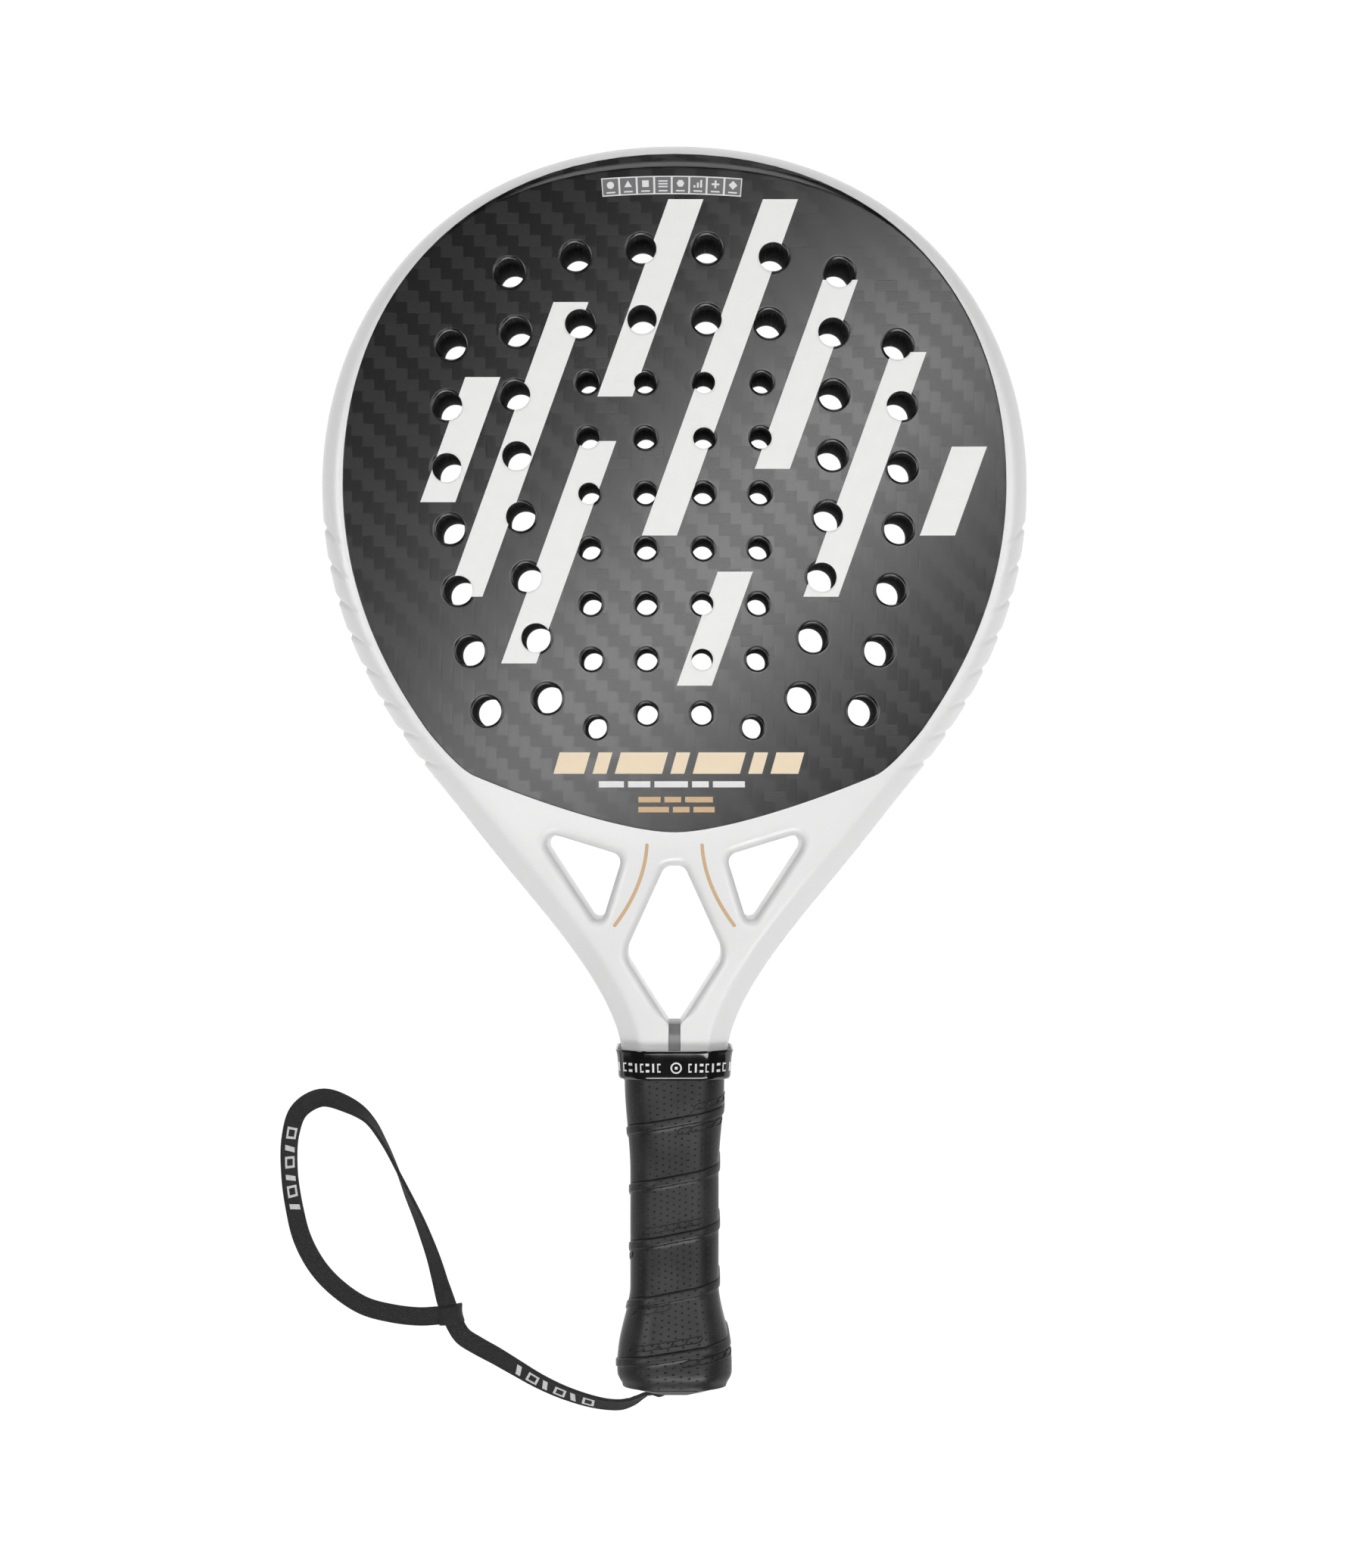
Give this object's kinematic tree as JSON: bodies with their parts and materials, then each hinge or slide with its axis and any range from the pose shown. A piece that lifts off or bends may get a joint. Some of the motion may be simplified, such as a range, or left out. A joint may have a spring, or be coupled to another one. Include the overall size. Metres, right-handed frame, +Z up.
{
  "type": "padel racket",
  "caption": "Teardrop padel racket with a tubular frame, drilled carbon faces on a foam core, an open throat bridge, a wrapped grip and a flat wrist strap with a sliding eye.",
  "frame": {"origin": "under the middle of the racket, without its strap, on the surface it lies on", "axes": "+Y from the butt to the crown of the head, +X to the right seen from above, +Z up through the thickness, front face up"},
  "size_m": [0.2755, 0.4672, 0.038],
  "materials": {
    "white_lacquer": "gloss white lacquer over carbon composite",
    "grey_filler": "satin mid grey",
    "eva_foam": "black drilled foam, slightly shiny on the hole walls",
    "carbon_cloth": "satin clear coat over large-check carbon twill",
    "handle_laminate": "raw moulded laminate",
    "pu_foam": "cellular foam",
    "base_grip": "matt cushion tape",
    "overgrip": "matt perforated tacky tape",
    "tape": "satin vinyl tape",
    "collar_rubber": "glossy black rubber",
    "cap_plastic": "satin dark grey plastic",
    "webbing": "woven black webbing"
  },
  "bodies": {
    "root": {"frame_tube": "white_lacquer", "throat_bridge": "white_lacquer", "neck_filler": "grey_filler", "foam_core": "eva_foam", "front_skin": "carbon_cloth", "back_skin": "carbon_cloth", "handle_sleeve": "handle_laminate", "foam_plug_left": "pu_foam", "foam_plug_right": "pu_foam", "base_grip": "base_grip", "overgrip": "overgrip", "finishing_tape": "tape", "rubber_collar": "collar_rubber", "butt_cap": "cap_plastic", "strap_knot": "webbing", "wrist_strap": "webbing", "strap_keeper": "webbing"}
  },
  "joints": []
}
